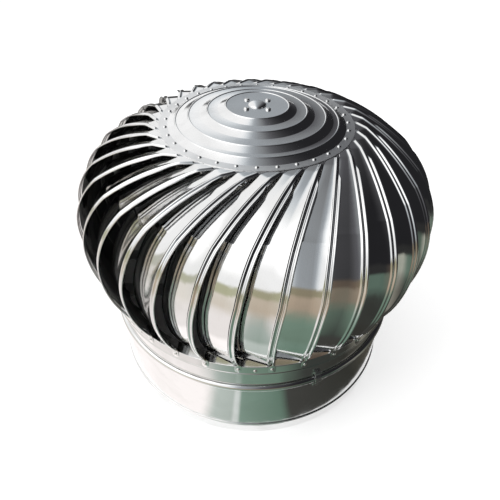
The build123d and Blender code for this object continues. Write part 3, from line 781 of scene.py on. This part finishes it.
def add_ear(builder):
    """Rounded tab at the vane's outer foot that the ring's rivet holds, folded flat on the ring."""
    facing = Vector((math.cos(ear_azimuth), math.sin(ear_azimuth), 0))
    aside = Vector((-math.sin(ear_azimuth), math.cos(ear_azimuth), 0))
    outline = []
    for step in range(24):
        turn = full_turn * step / 24
        half_run = ear_half_run if math.sin(turn) >= 0 else -ear_half_run
        outline.append((ear_radius * math.cos(turn), half_run + ear_radius * math.sin(turn)))
    layers = []
    for depth, inset in ear_layers:
        shrink = 1 - inset / ear_radius
        layers.append([
            builder.verts.new(
                facing * (ring_radius + depth) + aside * side * shrink + up * (ring_top - ear_drop + rise * shrink)
            )
            for side, rise in outline
        ])
    for low, high in zip(layers, layers[1:]):
        band_of_faces(builder, low, high)
    builder.faces.new(layers[0])
    builder.faces.new(layers[-1])


def round_the_axle_tree():
    """Geometry tree that repeats a piece round the axle, each copy turned to face outward."""
    tree = bpy.data.node_groups.new("round_the_axle", "GeometryNodeTree")
    tree.interface.new_socket("Geometry", in_out="INPUT", socket_type="NodeSocketGeometry")
    tree.interface.new_socket("Geometry", in_out="OUTPUT", socket_type="NodeSocketGeometry")
    sockets = {}
    for name, kind in (
        ("Count", "Int"), ("Circle radius", "Float"), ("Height", "Float"), ("First angle", "Float"),
        ("Tilt", "Float"), ("Spin spread", "Float"), ("Seed", "Int"), ("Finish", "Material"),
    ):
        socket = tree.interface.new_socket(name, in_out="INPUT", socket_type="NodeSocket" + kind)
        sockets[name] = socket.identifier
    given = tree.nodes.new("NodeGroupInput").outputs
    index = fed(tree, "GeometryNodeInputIndex").outputs[0]
    step = math_node(tree, "DIVIDE", full_turn, given["Count"])
    angle = math_node(tree, "MULTIPLY_ADD", index, step, given["First angle"])
    place = fed(
        tree, "ShaderNodeCombineXYZ",
        X=math_node(tree, "MULTIPLY", math_node(tree, "COSINE", angle), given["Circle radius"]),
        Y=math_node(tree, "MULTIPLY", math_node(tree, "SINE", angle), given["Circle radius"]),
        Z=given["Height"],
    )
    line = fed(tree, "GeometryNodeMeshLine", Count=given["Count"])
    points = fed(tree, "GeometryNodeSetPosition", Geometry=line.outputs[0], Position=place.outputs[0])
    turn = fed(tree, "ShaderNodeCombineXYZ", Y=given["Tilt"], Z=angle)
    copies = fed(
        tree, "GeometryNodeInstanceOnPoints",
        Points=points.outputs[0], Instance=given["Geometry"], Rotation=turn.outputs[0],
    )
    spin = fed(
        tree, "FunctionNodeRandomValue",
        Min=math_node(tree, "MULTIPLY", given["Spin spread"], -1.0), Max=given["Spin spread"], Seed=given["Seed"],
    )
    spin_angle = next(socket for socket in spin.outputs if socket.type == "VALUE" and socket.enabled)
    own_spin = fed(tree, "ShaderNodeCombineXYZ", Z=spin_angle)
    turned = fed(
        tree, "GeometryNodeRotateInstances", Instances=copies.outputs[0], Rotation=own_spin.outputs[0]
    )
    real = fed(tree, "GeometryNodeRealizeInstances", Geometry=turned.outputs[0])
    painted = fed(tree, "GeometryNodeSetMaterial", Geometry=real.outputs[0], Material=given["Finish"])
    tree.links.new(painted.outputs[0], tree.nodes.new("NodeGroupOutput").inputs[0])
    return tree, sockets


axle_tree, axle_sockets = round_the_axle_tree()


def repeat_round_axle(piece, finish, count, circle_radius=0.0, height=0.0, first_angle=0.0, tilt=0.0,
                      spin_spread=0.0, seed=1):
    """Repeat a piece with the tree, and keep the result as a plain mesh."""
    modifier = piece.modifiers.new("round_the_axle", "NODES")
    modifier.node_group = axle_tree
    for name, value in (
        ("Count", count), ("Circle radius", circle_radius), ("Height", height),
        ("First angle", first_angle), ("Tilt", tilt), ("Spin spread", spin_spread),
        ("Seed", seed), ("Finish", finish),
    ):
        modifier[axle_sockets[name]] = value
    bpy.context.view_layer.update()
    evaluated = piece.evaluated_get(bpy.context.evaluated_depsgraph_get())
    mesh = bpy.data.meshes.new_from_object(evaluated)
    mesh.name = piece.name
    piece.modifiers.clear()
    piece.data = mesh


def strip_place(tree):
    """The piece's own map: metres across the strip and along it."""
    where = tree.nodes.new("ShaderNodeUVMap")
    where.uv_map = "strip"
    return where.outputs[0]


def strip_vector(material, across=900.0, along=10.0):
    """Coordinates for grain that runs along a strip."""
    tree = material.node_tree
    grain = vector_node(tree, "MULTIPLY", strip_place(tree), (across, along, 1.0))
    return grain.outputs[0], object_place(tree)


vane_finish = sheet_metal(
    "polished_vane_sheet", (0.88, 0.88, 0.88), (0.76, 0.76, 0.75), clean=0.05, dull=0.14,
    ripple_depth=0.0006, grain_depth=0.00001, vector=strip_vector, waves=11.0,
)
mill_and_shade_start = 0.026
mill_and_shade_fade = 0.018


def mill_back_and_painted_shade(material, colour, roughness):
    """Dull mill finish inside, away from the hem, with painted shade: that face is coloured near black for the
    shade inside the turbine. That side lies a metre further on in the map.
    """
    tree = material.node_tree
    surface = tree.nodes["Principled BSDF"]
    from_edge = parts_of(tree, strip_place(tree))["X"]
    inward_of_hem = math_node(tree, "SUBTRACT", 1.0 + edge_offset, from_edge)
    back = math_node(
        tree, "MULTIPLY", math_node(tree, "GREATER_THAN", from_edge, 0.5),
        ranged(tree, inward_of_hem, mill_and_shade_start, mill_and_shade_start + mill_and_shade_fade),
    )
    clean_colour = surface.inputs["Base Color"].links[0].from_socket
    tree.links.new(blended(tree, back, clean_colour, colour), surface.inputs["Base Color"])
    clean_roughness = surface.inputs["Roughness"].links[0].from_socket
    tree.links.new(ranged(tree, back, 0.0, 1.0, clean_roughness, roughness), surface.inputs["Roughness"])


# Inner faces: a rougher mill finish, and painted shade in a near-black colour
mill_back_and_painted_shade(vane_finish, (0.09, 0.09, 0.09), 0.34)
vanes = smooth_piece("vanes", vane_mesh(), 50)
repeat_round_axle(vanes, vane_finish, vane_count)
vane_nodes = [f"vane_{number:02d}" for number in range(1, vane_count + 1)]
dress(vanes, vane_finish, "turbine", "stainless", *vane_nodes)

# Cap: one disc of stainless spun into a plateau and three rising flats, with a flat rim that lies
# over the vanes' tabs. The flats keep the fine rings that the spinning tool left.

cap_flange_width = 0.013
cap_slope_width = 0.0105
cap_flat_widths = (0.0095, 0.018, 0.017)
cap_step_rise = 0.0056
cap_flat_rise = 0.001
cap_corner = 0.0016
plateau_top = cap_box[1].z
plateau_radius = cap_rim_radius - cap_flange_width - 4 * cap_slope_width - sum(cap_flat_widths)
hole_radius = 0.0115
edge_roll = 0.0012
edge_rise = 0.75
edge_foot_run = 0.0003
edge_foot_drop = 0.0002
cap_line = [(hole_radius, plateau_top)]
radius, height = plateau_radius, plateau_top
for width in (*reversed(cap_flat_widths), 0):
    cap_line.append((radius - 2 * edge_roll, height))
    cap_line += [
        (radius - edge_roll - edge_roll * math.cos(turn), height + edge_rise * edge_roll * math.sin(turn))
        for turn in (half_turn * step / 8 for step in range(1, 8))
    ]
    cap_line.append((radius + edge_foot_run, height - edge_foot_drop))
    cap_line.append((radius + cap_slope_width, height - cap_step_rise))
    radius += cap_slope_width + width
    height -= cap_step_rise + cap_flat_rise
cap_line.append((cap_rim_radius, cap_rim_height))
cap = spun("stepped_cap", sheet_loop(rounded(cap_line, cap_corner, 3), cap_sheet), steps=384)
dish_clean, dish_dull = 0.09, 0.22
rim_clean, rim_dull = 0.36, 0.48
rim_start = cap_rim_radius - cap_flange_width
rim_blend = 0.0005
cap_finish = sheet_metal(
    "spun_cap_sheet", (0.92, 0.92, 0.92), (0.76, 0.76, 0.76), clean=dish_clean, dull=dish_dull,
    ripple_depth=0.0006, grain_depth=0.00003, brushed=0.4,
)
cap_tree = cap_finish.node_tree
cap_marks = next(node for node in cap_tree.nodes if getattr(node, "node_tree", None) == grain_group)
from_axle = radius_of(cap_tree, parts_of(cap_tree, object_place(cap_tree)))
for socket, on_the_dish, on_the_rim in (
    ("Clean roughness", dish_clean, rim_clean), ("Dull roughness", dish_dull, rim_dull),
):
    step_up = ranged(
        cap_tree, from_axle, rim_start - rim_blend, rim_start + rim_blend, on_the_dish, on_the_rim
    )
    cap_tree.links.new(step_up, cap_marks.inputs[socket])
dress(cap, cap_finish, "turbine", "stainless", "top_cap")

# Clamp ring: a flat ring of stainless cut from plate. It lies under the vanes' tabs, and the cap's
# rivets squeeze the tabs between it and the cap's rim.

dress(frame["nodes"]["clamp_ring"], mill_stainless, "turbine", "stainless")

# Rivets: blind rivets of stainless with a domed head and the pit that the broken stem leaves. One
# holds each vane under the cap's rim, one holds each ear on the ring, and eight join ring and hoop.

rivet_radius = 0.0016
rivet_head_radius = 0.0029
rivet_head_height = 0.0017
rivet_pit = ((0.0, 0.0009), (0.0007, 0.0010), (0.0009, rivet_head_height))
rivet_tail = ((0.0024, 0.0), (0.0022, -0.0011), (0.0, -0.0012))
rivet_dome_shares = (0.45, 0.7, 0.88, 1.0)
rivet_dome_fullness = 0.985
rivet_sides = 18
rivet_finish = sheet_metal("rivet_steel", (0.94, 0.94, 0.94), (0.80, 0.80, 0.79), clean=0.16, dull=0.30)


def vertex_ring(builder, radius, height, sides):
    """Vertices on a circle round the Z axis, or the one vertex where the radius is 0."""
    if radius == 0:
        return [builder.verts.new((0, 0, height))]
    turns = [full_turn * side / sides for side in range(sides)]
    return [builder.verts.new((radius * math.cos(turn), radius * math.sin(turn), height)) for turn in turns]


def rivet_head(name, depth):
    """One rivet on local Z: a domed head with a pit over the origin, and a tail below a depth."""
    builder = bmesh.new()
    outline = list(rivet_pit)
    for share in rivet_dome_shares:
        level = math.sqrt(1 - (share * rivet_dome_fullness) ** 2)
        outline.append((rivet_head_radius * share, rivet_head_height * level))
    outline += [(rivet_head_radius, 0.0), (rivet_radius, 0.0), (rivet_radius, -depth)]
    outline += [(radius, height - depth) for radius, height in rivet_tail]
    rows = [vertex_ring(builder, radius, height, rivet_sides) for radius, height in outline]
    for upper, lower in zip(rows, rows[1:]):
        band_of_faces(builder, upper, lower)
    return smooth_piece(name, builder, 35)


def joined(name, parts):
    """Parts with the same finish joined into one piece."""
    builder = bmesh.new()
    for part in parts:
        builder.from_mesh(part.data)
        bpy.data.objects.remove(part)
    mesh = bpy.data.meshes.new(name)
    builder.to_mesh(mesh)
    builder.free()
    return placed(name, mesh)


cap_rivet_inset = 0.009
cap_rivet_setback = 0.0102
rivet_circle = cap_rim_radius - cap_rivet_inset
sector_end = vane_azimuth + math.atan2(bead_foot, -rim_run)
cap_rivet_angle = sector_end - cap_rivet_setback / rivet_circle
cap_grip = cap_rim_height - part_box("clamp_ring")[0].z
cap_rivets = rivet_head("cap_rivet_heads", cap_grip)
repeat_round_axle(cap_rivets, rivet_finish, vane_count, rivet_circle, cap_rim_height, cap_rivet_angle)
dress(cap_rivets, rivet_finish, "turbine", "stainless", "cap_rivets")

hoop_thickness = 0.003
hoop_rivet_count = 8
hoop_rivet_drop = 0.0085
arm_thickness = 0.003
ear_face = ring_radius + ear_top
hoop_inner_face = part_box("ring_hoop")[1].x - hoop_thickness
ear_rivets = rivet_head("ear_rivets", ear_face - hoop_inner_face)
repeat_round_axle(
    ear_rivets, rivet_finish, vane_count, ear_face, ring_top - ear_drop, ear_azimuth, quarter_turn
)
hoop_rivets = rivet_head("hoop_rivets", ring_radius - hoop_inner_face + arm_thickness)
repeat_round_axle(
    hoop_rivets, rivet_finish, hoop_rivet_count, ring_radius, ring_top - hoop_rivet_drop,
    ear_azimuth + vane_pitch / 2, quarter_turn,
)
ring_rivets = joined("ring_rivet_heads", [ear_rivets, hoop_rivets])
dress(ring_rivets, rivet_finish, "turbine", "stainless", "ring_rivets")

# Cup screws: four pan-head screws with a cross recess that hold the upper bearing's cup under the
# cap's plateau.

screw_crown = (
    (0.0040, 0.0), (0.0040, 0.0009), (0.0038, 0.0014), (0.0033, 0.0019),
    (0.0026, 0.0022), (0.0019, 0.00235), (0.0013, 0.0024), (0.0007, 0.0024),
)
screw_radius = 0.0025
screw_length = 0.0055
screw_circle = 0.0225
screw_sides = 48
screw_count = 4
cross_half_width = 0.00042
cross_reach = 0.0023
cross_depth = 0.0011
cross_floor = 0.0012


def screw_mesh(name):
    """Pan head on a short shank, with a cross cut into its crown."""
    builder = bmesh.new()
    head = [vertex_ring(builder, radius, height, screw_sides) for radius, height in screw_crown]
    for vertex in builder.verts:
        x, y = abs(vertex.co.x), abs(vertex.co.y)
        if min(x, y) < cross_half_width and max(x, y) < cross_reach:
            vertex.co.z -= cross_depth
    head.append(vertex_ring(builder, 0, cross_floor, 1))
    for low, high in zip(head, head[1:]):
        band_of_faces(builder, low, high)
    neck, tip = (vertex_ring(builder, screw_radius, height, screw_sides) for height in (0.0, -screw_length))
    band_of_faces(builder, neck, head[0])
    band_of_faces(builder, tip, neck)
    builder.faces.new(tip)
    return smooth_piece(name, builder, 35)


cup_screws = screw_mesh("cup_screws")
repeat_round_axle(
    cup_screws, rivet_finish, screw_count, screw_circle, plateau_top, quarter_turn / 2,
    spin_spread=0.7, seed=4,
)
dress(cup_screws, rivet_finish, "turbine", "stainless", "housing_screws")

# Hub dome: a small cover pressed from thin stainless. It sits round the hole in the plateau and
# closes it over the axle's upper nut.

dome_radius = 0.0135
dome_height = 0.0045
dome_sheet = 0.0008
dome_steps = 16
inner_shrink = 0.88
inner_drop = dome_sheet * 0.9
dome_line = []
for step in range(dome_steps + 1):
    turn = quarter_turn * step / dome_steps
    dome_line.append((dome_radius * math.sin(turn), plateau_top + dome_height * math.cos(turn)))
dome_loop = dome_line + [(radius * inner_shrink, height - inner_drop) for radius, height in dome_line[-2::-1]]
hub_dome = spun("hub_dome_cover", dome_loop, steps=64)
dress(hub_dome, cap_finish, "turbine", "stainless", "hub_dome")

# Studio: a pale floor under two soft lamps. Polished metal shows what stands round it, so a closed surround that
# only reflections see is
# painted with the reflections it gives: a pale side, a dark side, ground tones, a horizon and a painted highlight
# where the key lamp stands.


def seen_directly(tree):
    """1 for camera and glossy rays, and 0 for the rays that light the object."""
    rays = tree.nodes.new("ShaderNodeLightPath").outputs
    return math_node(tree, "MAXIMUM", rays["Is Camera Ray"], rays["Is Glossy Ray"])


floor_glow = 0.36
floor_mesh = bmesh.new()
floor_half_size = 9.0
bmesh.ops.create_grid(floor_mesh, x_segments=1, y_segments=1, size=floor_half_size)
floor = smooth_piece("floor", floor_mesh)
floor_paint, floor_tree, floor_surface = new_finish("white_floor")
floor_surface.inputs["Base Color"].default_value = (0.93, 0.93, 0.93, 1)
floor_surface.inputs["Roughness"].default_value = 0.9
floor_surface.inputs["Emission Color"].default_value = (1, 1, 1, 1)
floor_reach = vector_node(floor_tree, "LENGTH", object_place(floor_tree)).outputs["Value"]
beside_throat = math_node(floor_tree, "GREATER_THAN", floor_reach, throat_radius)
floor_seen = math_node(floor_tree, "MULTIPLY", seen_directly(floor_tree), beside_throat)
floor_tree.links.new(
    math_node(floor_tree, "MULTIPLY", floor_seen, floor_glow), floor_surface.inputs["Emission Strength"]
)
floor.data.materials.append(floor_paint)


def soft_step(tree, value, start, end):
    """Smooth rise from 0 to 1 while a value goes from start to end."""
    return ranged(tree, value, start, end, curve="SMOOTHSTEP")


def tone_ramp(tree, value, stops):
    """Colour ramp through (place, colour) stops."""
    node = tree.nodes.new("ShaderNodeValToRGB")
    elements = node.color_ramp.elements
    while len(elements) < len(stops):
        elements.new(0.5)
    for element, (place, colour) in zip(elements, stops):
        element.position = place
        element.color = (*colour, 1)
    tree.links.new(value, node.inputs[0])
    return node.outputs[0]


surround_middle = (0, 0, 0.25)
surround_foot = 0.262
surround_lift = 0.003
surround_radius = 3.0
surround_steps = 48
surround_line = [(radius, surround_lift) for radius in (surround_foot, 0.5, 1.0, surround_radius)]
for degrees in range(5, 90, 5):
    turn = math.radians(degrees)
    surround_line.append((surround_radius * math.cos(turn), surround_lift + surround_radius * math.sin(turn)))
surround_mesh = bmesh.new()
surround_rows = [
    turned_row(surround_mesh, surround_line, full_turn * step / surround_steps) for step in range(surround_steps)
]
for row, following in zip(surround_rows, surround_rows[1:] + surround_rows[:1]):
    for index in range(len(row) - 1):
        surround_mesh.faces.new([row[index], following[index], following[index + 1], row[index + 1]])
surround_mesh.faces.new([row[-1] for row in surround_rows])
surround = smooth_piece("surround", surround_mesh)
surround_paint, tones, surround_surface = new_finish("studio_surround")
from_middle = vector_node(tones, "SUBTRACT", object_place(tones), surround_middle).outputs[0]
towards = vector_node(tones, "NORMALIZE", from_middle).outputs[0]
facing = parts_of(tones, towards)
reach = radius_of(tones, parts_of(tones, from_middle))
turns = math_node(tones, "DIVIDE", math_node(tones, "ARCTAN2", facing["Y"], facing["X"]), full_turn)
bearing = math_node(tones, "FRACT", math_node(tones, "ADD", 1.0, turns))
blotches = noise_node(tones, towards, scale=5.0, detail=3.0, distortion=0.4)
side_lean = -0.06
side_scale = 1.667
rightward = math_node(tones, "MULTIPLY_ADD", facing["Y"], side_lean, facing["X"])
overhead = tone_ramp(tones, math_node(tones, "MULTIPLY_ADD", rightward, side_scale, 0.5), [
    (0.0, (1.0, 1.0, 1.0)), (0.18, (0.96, 0.97, 0.98)), (0.27, (0.74, 0.78, 0.81)), (0.38, (0.38, 0.41, 0.44)),
    (0.62, (0.24, 0.25, 0.26)), (0.78, (0.11, 0.11, 0.12)), (1.0, (0.075, 0.075, 0.08)),
])
dark_side = (0.018, 0.018, 0.02)
overhead = blended(tones, soft_step(tones, facing["X"], 0.15, 0.5), overhead, dark_side)
foot_floor = tone_ramp(tones, bearing, [
    (0.0, (0.06, 0.06, 0.05)), (0.42, (0.80, 0.77, 0.75)), (0.50, (1.16, 1.10, 1.09)),
    (0.69, (1.16, 1.10, 1.08)), (0.705, (0.56, 0.62, 0.58)), (0.727, (0.50, 0.56, 0.52)),
    (0.733, (0.90, 0.92, 0.91)), (0.737, (0.24, 0.34, 0.28)), (0.79, (0.14, 0.22, 0.17)),
    (0.80, (0.06, 0.06, 0.055)), (0.90, (0.035, 0.035, 0.03)), (0.96, (0.08, 0.075, 0.06)),
])
near_floor = tone_ramp(tones, bearing, [
    (0.0, (0.06, 0.06, 0.05)), (0.25, (0.10, 0.10, 0.09)), (0.42, (0.75, 0.72, 0.70)),
    (0.52, (0.96, 0.91, 0.89)), (0.67, (0.92, 0.87, 0.85)), (0.70, (0.42, 0.48, 0.44)),
    (0.74, (0.19, 0.28, 0.22)), (0.79, (0.15, 0.22, 0.17)), (0.83, (0.045, 0.05, 0.045)),
    (0.90, (0.04, 0.04, 0.035)), (0.93, (0.26, 0.25, 0.21)), (0.96, (0.09, 0.085, 0.07)),
])
near_floor = blended(tones, soft_step(tones, reach, 0.33, 0.38), foot_floor, near_floor)
far_floor = tone_ramp(tones, bearing, [
    (0.0, (0.05, 0.05, 0.05)), (0.3, (0.08, 0.08, 0.08)), (0.42, (0.70, 0.69, 0.67)),
    (0.58, (0.85, 0.80, 0.73)), (0.66, (0.62, 0.54, 0.44)), (0.73, (0.46, 0.37, 0.28)),
    (0.80, (0.20, 0.17, 0.13)), (0.85, (0.10, 0.15, 0.12)), (0.90, (0.14, 0.20, 0.16)),
    (0.93, (0.55, 0.53, 0.46)), (0.96, (0.10, 0.14, 0.11)), (1.0, (0.05, 0.05, 0.05)),
])
reach_wave = math_node(tones, "MULTIPLY_ADD", blotches, 0.5, reach)
floor_tone = blended(tones, soft_step(tones, reach_wave, 0.75, 1.3), near_floor, far_floor)
horizon = tone_ramp(tones, bearing, [
    (0.0, (0.03, 0.03, 0.03)), (0.3, (0.05, 0.05, 0.05)), (0.45, (0.55, 0.55, 0.50)),
    (0.60, (0.50, 0.50, 0.34)), (0.70, (0.36, 0.33, 0.22)), (0.78, (0.16, 0.12, 0.09)),
    (0.84, (0.03, 0.03, 0.03)), (1.0, (0.03, 0.03, 0.03)),
])
height_wave = math_node(tones, "MULTIPLY_ADD", blotches, 0.12, facing["Z"])
lower = blended(tones, soft_step(tones, height_wave, -0.06, 0.0), floor_tone, horizon)
# Painted highlight: a glowing patch in the key lamp's direction stands in for the lamp, which reflections don't
# see
painted_glow_side = Vector((-0.62, -0.32, 0.72)).normalized()
painted_glow_white = (1.6, 1.6, 1.6)
painted_glow_dot = vector_node(tones, "DOT_PRODUCT", towards, painted_glow_side)
in_painted_glow = soft_step(tones, painted_glow_dot.outputs["Value"], 0.80, 1.0)
overhead = blended(tones, in_painted_glow, overhead, painted_glow_white)
tone = blended(tones, soft_step(tones, height_wave, 0.09, 0.17), lower, overhead)
surround_surface.inputs["Base Color"].default_value = (0, 0, 0, 1)
surround_surface.inputs["Specular IOR Level"].default_value = 0
surround_surface.inputs["Emission Strength"].default_value = 1
tones.links.new(tone, surround_surface.inputs["Emission Color"])
surround.data.materials.append(surround_paint)
surround.visible_camera = False
surround.visible_diffuse = False
surround.visible_shadow = False


def soft_lamp(name, place, target, size, power):
    """Square area lamp that faces a point."""
    lamp = bpy.data.lights.new(name, "AREA")
    lamp.size = size
    lamp.energy = power
    holder = placed(name, lamp)
    holder.location = place
    holder.visible_glossy = False
    holder.rotation_mode = "QUATERNION"
    holder.rotation_quaternion = (Vector(target) - Vector(place)).to_track_quat("-Z", "Y")


soft_lamp("key_lamp", (-1.7, -0.9, 2.2), target=(0, 0, 0.25), size=1.6, power=26)
soft_lamp("fill_lamp", (1.4, 1.6, 1.9), target=(0, 0, 0.3), size=1.4, power=12)

room_light = 0.7
world = bpy.data.worlds.new("studio")
bpy.context.scene.world = world
world.use_nodes = True
room = world.node_tree
room.nodes["Background"].inputs["Color"].default_value = (1, 1, 1, 1)
room_strength = math_node(room, "MULTIPLY_ADD", seen_directly(room), 1.0 - room_light, room_light)
room.links.new(room_strength, room.nodes["Background"].inputs["Strength"])

# Camera: it stands before the front and looks down about forty degrees on the middle of the
# ventilator, with a slight roll. Colours leave it plain.

scene = bpy.context.scene
scene.view_settings.view_transform = "Standard"
camera = placed("camera", bpy.data.cameras.new("camera"))
camera.data.lens = camera.data.sensor_width = 36
camera_target = Vector((-0.0063, 0, 0.1975))
camera_distance = 0.926
camera_elevation = math.radians(39.87)
camera_roll = math.radians(1.24)
away = Vector((0, -math.cos(camera_elevation), math.sin(camera_elevation)))
camera.location = camera_target + away * camera_distance
camera.rotation_mode = "QUATERNION"
looking = (-away).to_track_quat("-Z", "Y")
camera.rotation_quaternion = looking @ Quaternion((0, 0, 1), camera_roll)
scene.camera = camera
